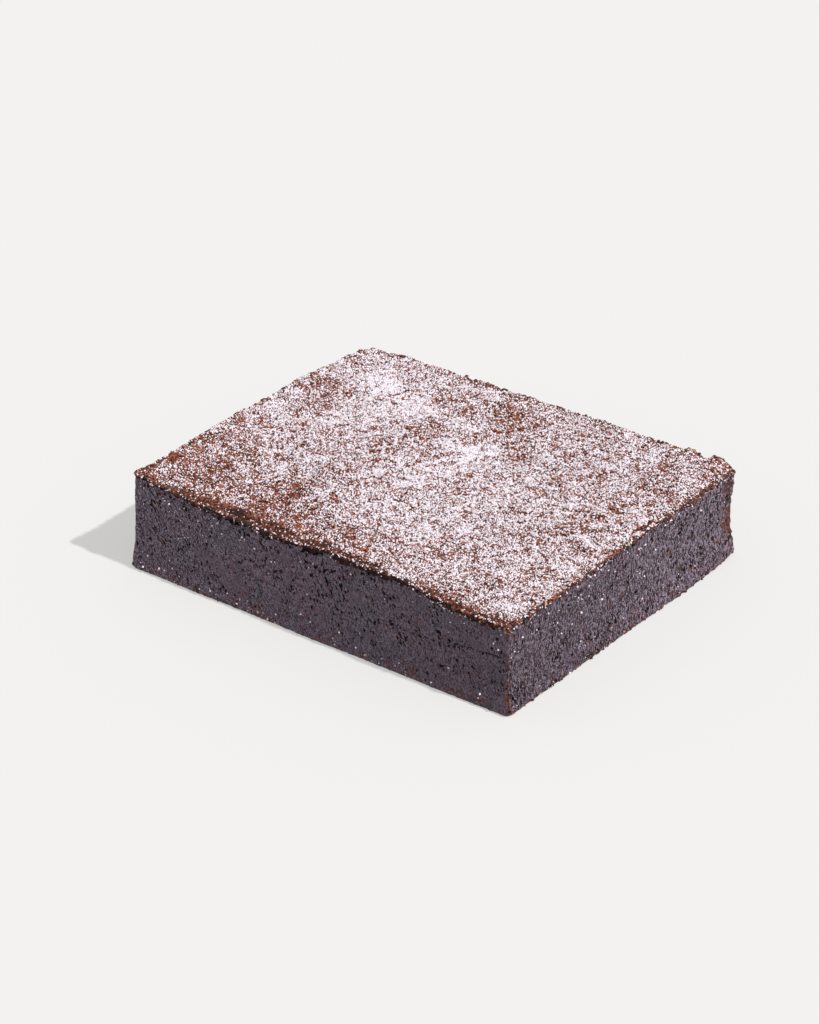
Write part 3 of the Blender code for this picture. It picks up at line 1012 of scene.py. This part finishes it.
def joinCopies(name, kind, places, sizes, stuff, seed, flat=1.0):
    # one copy of the shape at each place, each made uneven, turned by a quaternion and sized at random
    rng = np.random.default_rng(seed)
    verts, faces = templateShape(kind)
    count = len(places)
    turn = rng.standard_normal((count, 1, 4))
    turn /= np.linalg.norm(turn, axis=2, keepdims=True)
    points = verts * rng.uniform(0.72, 1.25, (count, len(verts), 1))
    swung = np.cross(turn[..., 1:], points)
    points += 2 * (turn[..., :1] * swung + np.cross(turn[..., 1:], swung))
    points *= sizes[:, None, None]
    points[:, :, 2] *= flat
    points += places[:, None, :]
    lowest = points[:, :, 2].min(axis=1)
    points[:, :, 2] += np.maximum(0.02 * mm - lowest, 0)[:, None]
    points = points.reshape(-1, 3)
    corners = (faces[None] + (np.arange(count) * len(verts))[:, None, None]).reshape(-1)
    mesh = bpy.data.meshes.new(name)
    mesh.vertices.add(len(points))
    mesh.vertices.foreach_set("co", points.astype(np.float32).ravel())
    mesh.loops.add(len(corners))
    mesh.loops.foreach_set("vertex_index", corners.astype(np.int32))
    mesh.polygons.add(len(corners) // 3)
    mesh.polygons.foreach_set("loop_start", np.arange(0, len(corners), 3, dtype=np.int32))
    mesh.update(calc_edges=True)
    mesh.validate()
    finishPiece(name, mesh, *stuff)


# sifted icing sugar; its finest powder is drawn as coarse as it needs to be to show
sugar = {
    "kinds": [  # name, shape, how many, radius range in mm, power that crowds it where sugar is thick
        ("sugarDust", "shard", 40500, (0.12, 0.19), 1.0),
        ("sugarGrains", "grain", 22000, (0.14, 0.21), 1.0),
        ("sugarClumps", "ball", 6500, (0.16, 0.25), 1.1),
    ],
    "stands": 0.45,  # how far a grain's middle is above the crust, as a share of its radius
    "clumpSize": 0.6 * mm,
    "clumping": 0.3,
    "stray": 0.05,
}


def siftSugar(plan, stuff):
    rows, cols = plan["sugar"].shape
    clump = softNoise(rows, cols, crust["cell"], sugar["clumpSize"], sugar["clumpSize"], 59)
    for index, (name, kind, count, radii, crowding) in enumerate(sugar["kinds"]):
        rng = np.random.default_rng(60 + index)
        tries = count * 8
        x, y = rng.uniform(-halfX, halfX, tries), rng.uniform(-halfY, halfY, tries)
        here = np.clip(gridLookup(plan["sugar"], x, y), 0, 0.97)
        want = (-np.log(1 - here)) ** crowding * np.exp(sugar["clumping"] * gridLookup(clump, x, y))
        keep = np.flatnonzero(rng.uniform(0, 1, tries) * 6.0 < want + sugar["stray"])[:count]
        x, y = x[keep], y[keep]
        sizes = rng.uniform(*radii, len(keep)) * mm
        z = gridLookup(plan["z"], x, y) + sizes * sugar["stands"]
        joinCopies(name, kind, np.stack([x, y, z], 1), sizes, stuff, 70 + index)


# crumbs and stray sugar: how many, and the smallest radius, how much larger others are and the power that
# makes large ones rare; places are along the edge, with how far they reach; mm
loose = {
    "sugarFlecks": {"count": 330, "radii": (0.10, 0.17, 2), "topShare": 0.6, "topDepth": 4.5,
                    "footHeight": 2.5,
                    "places": [(8, 12, 1.6), (30, 8, 0.6), (100, 6, 2.0), (112, 6, 1.4), (122, 5, 1.0)]},
    "sideCrumbs": {"count": 420, "radii": (0.09, 0.16, 3)},
    "footCrumbs": {"count": 900, "radii": (0.10, 0.34, 4), "places": [(14, 16, 0.30)]},
    "rimCrumbs": {"count": 1150, "radii": (0.10, 0.16, 2), "across": (-0.5, 0.22), "drop": 1.0},
    "rimLumps": {"count": 620, "radii": (0.18, 0.30, 2), "across": (-0.35, 0.12), "drop": 1.0, "flat": 0.85,
                 "places": [
                     (12, 9, 3), (22, 6, 3), (33, 4, 2), (60, 8, 1), (91, 3, 3), (104, 6, 1),
                     (120, 5, 1.6), (128, 3, 1.6), (140, 14, 0.8), (160, 5, 1.2), (167, 5, 0.8),
                     (178, 8, 1.5), (222, 3, 3), (300, 4, 1.5),
                 ]},
    "rimSugar": {"count": 1750, "radii": (0.10, 0.13, 2), "across": (-0.4, 0.28), "drop": 1.1,
                 "sparse": [(30, 28, 0.25)]},
}


def sidePlaces(side, s, z, lift):
    # points on the cut sides, a little proud of the surface
    rows, cols = side["x"].shape
    col = (s / side["cell"]).astype(int) % cols
    row = np.clip((z / height * (rows - 1)).astype(int), 0, rows - 1)
    out = side["out"][row, col] + lift
    return np.stack([side["x"][row, col] + side["nx"][row, col] * out,
                     side["y"][row, col] + side["ny"][row, col] * out, side["z"][row, col]], 1)


def randomSizes(rng, count, radii):
    smallest, larger, power = radii
    return (smallest + larger * rng.uniform(size=count) ** power) * mm


def crowdedAlong(rng, count, places, evenly):
    # distances along the edge, crowded at the places and sparse between them
    s = rng.uniform(0, perimeter, count * 6)
    wish = evenly + alongPlaces(s, places)
    return np.resize(s[rng.uniform(size=len(s)) * 5.0 < wish], count)


def scatterSugarFlecks(rng, side, stuff):
    # sugar that fell down the cut sides, most of it from the rim and some up from the foot
    kind = loose["sugarFlecks"]
    count = kind["count"]
    fromTop = height - np.abs(rng.normal(0, kind["topDepth"] * mm, count))
    fromFoot = np.abs(rng.normal(0, kind["footHeight"] * mm, count)) + 0.4 * mm
    z = np.where(rng.uniform(size=count) < kind["topShare"], fromTop, fromFoot)
    sizes = randomSizes(rng, count, kind["radii"])
    places = sidePlaces(side, crowdedAlong(rng, count, kind["places"], 0.7), z, 0.03 * mm)
    joinCopies("sugarFlecks", "ball", places, sizes, stuff, 82)


def scatterSideCrumbs(rng, side, stuff):
    count = loose["sideCrumbs"]["count"]
    sizes = randomSizes(rng, count, loose["sideCrumbs"]["radii"])
    places = sidePlaces(side, rng.uniform(0, perimeter, count), rng.uniform(0, height, count), 0.0)
    joinCopies("sideCrumbs", "ball", places, sizes, stuff, 83)


def scatterFootCrumbs(rng, side, stuff):
    kind = loose["footCrumbs"]
    s = rng.uniform(0, perimeter, kind["count"] * 3)
    likely = 0.33 + 0.25 * aroundNoise(s, 3.0 * mm, 80) + alongPlaces(s, kind["places"])
    s = s[rng.uniform(size=len(s)) < likely][:kind["count"]]
    sizes = randomSizes(rng, len(s), kind["radii"])
    onLong = onLongSide(s)
    z = np.abs(rng.normal(0, 1, len(s))) * np.where(onLong, 1.3, 0.5) * mm + np.where(onLong, 0.6, 0.2) * mm
    joinCopies("footCrumbs", "ball", sidePlaces(side, s, z, -0.05 * mm), sizes, stuff, 84)


def scatterRim(rng, name, shape, s, stuff, seed):
    # bits on the rim, some inside it and some on the lip
    kind = loose[name]
    sizes = randomSizes(rng, len(s), kind["radii"])
    x, y, nx, ny = outline(s)
    lift = rng.uniform(*kind["across"], len(s)) * mm + lipWave(s)
    z = crustHeight(x, y) - rng.uniform(0.0, kind["drop"], len(s)) * lipDrop(s) * (lift > 0)
    places = np.stack([x + nx * lift, y + ny * lift, z], 1)
    joinCopies(name, shape, places, sizes, stuff, seed, kind.get("flat", 1.0))


def scatterLoose(side, sugarStuff, crumbStuff):
    rng = np.random.default_rng(81)
    scatterSugarFlecks(rng, side, sugarStuff)
    scatterSideCrumbs(rng, side, crumbStuff)
    scatterFootCrumbs(rng, side, crumbStuff)
    s = rng.uniform(0, perimeter, loose["rimCrumbs"]["count"])
    scatterRim(rng, "rimCrumbs", "ball", s, crumbStuff, 85)
    s = crowdedAlong(rng, loose["rimLumps"]["count"], loose["rimLumps"]["places"], 0.5)
    scatterRim(rng, "rimLumps", "lump", s, crumbStuff, 87)
    s = rng.uniform(0, perimeter, loose["rimSugar"]["count"])
    s = s[rng.uniform(size=len(s)) > alongPlaces(s, loose["rimSugar"]["sparse"])]
    scatterRim(rng, "rimSugar", "ball", s, sugarStuff, 86)


# pale board, one fairly hard key from the right, soft light all round
studio = {
    "board": "#a3a2a1",
    "boardGlow": 0.449,  # a backlit board, so that it stays pale right up to the slab
    "glowColour": (1.0, 0.995, 0.98, 1.0),
    "boardSize": 8.0,
    "ambient": 0.46,
    "ambientColour": (1.0, 0.995, 0.99, 1.0),
    "keyStrength": 3.1,
    "keyHeight": 51,
    "keyFrom": 4,
    "keySoftness": 2.0,
    "azimuth": 37.2,
    "elevation": 29.3,
    "roll": 0.2,
    "distance": 0.703,
    "lens": 123.05,
    "aside": 5.1 * mm,
    "up": -1.0 * mm,
}


def makeBoard():
    bm = bmesh.new()
    bmesh.ops.create_grid(bm, x_segments=8, y_segments=8, size=studio["boardSize"] / 2)
    mesh = bpy.data.meshes.new("board")
    bm.to_mesh(mesh)
    bm.free()
    board = addObject("board", mesh)
    material = bpy.data.materials.new("backlitBoard")
    material.use_nodes = True
    setInputs(material.node_tree.nodes["Principled BSDF"], {
        "Base Color": toLinear(studio["board"]), "Roughness": 0.9, "Specular IOR Level": 0.0,
        "Emission Color": studio["glowColour"], "Emission Strength": studio["boardGlow"]})
    mesh.materials.append(material)


def makeLights():
    world = bpy.data.worlds.new("softRoom")
    world.use_nodes = True
    bpy.context.scene.world = world
    setInputs(world.node_tree.nodes["Background"],
              {"Color": studio["ambientColour"], "Strength": studio["ambient"]})
    key = bpy.data.lights.new("key", "SUN")
    key.energy = studio["keyStrength"]
    key.angle = radians(studio["keySoftness"])
    lamp = addObject("key", key)
    e, a = radians(studio["keyHeight"]), radians(studio["keyFrom"])
    toward = Vector((cos(e) * cos(a), cos(e) * sin(a), sin(e)))
    lamp.rotation_euler = toward.to_track_quat("Z", "Y").to_euler()
    lamp.location = toward


def makeCamera():
    azimuth, elevation, roll = (radians(studio[name]) for name in ("azimuth", "elevation", "roll"))
    back = Vector((sin(azimuth) * cos(elevation), -cos(azimuth) * cos(elevation), sin(elevation)))
    level = Vector((cos(azimuth), sin(azimuth), 0.0))
    plumb = back.cross(level)
    right = level * cos(roll) + plumb * sin(roll)
    up = plumb * cos(roll) - level * sin(roll)
    aim = Vector((0, 0, height / 2)) - right * studio["aside"] - up * studio["up"]
    camera = bpy.data.cameras.new("camera")
    camera.lens = studio["lens"]
    camera.clip_start = 0.01
    eye = addObject("camera", camera)
    turn = Matrix((right, up, back)).transposed()
    eye.matrix_world = Matrix.Translation(aim + back * studio["distance"]) @ turn.to_4x4()
    bpy.context.scene.camera = eye
    bpy.context.scene.view_settings.view_transform = "Standard"


sugarStuff = (sugarMaterial(), "sugar")
crumbStuff = (crumbleMaterial(), "crust")
side = crumbSides()
makeCrumb(side, crumbMaterial())
plan = crustFields()
makeCrust(plan, crustMaterial())
siftSugar(plan, sugarStuff)
scatterLoose(side, sugarStuff, crumbStuff)
makeBoard()
makeLights()
makeCamera()
print("studio ready")
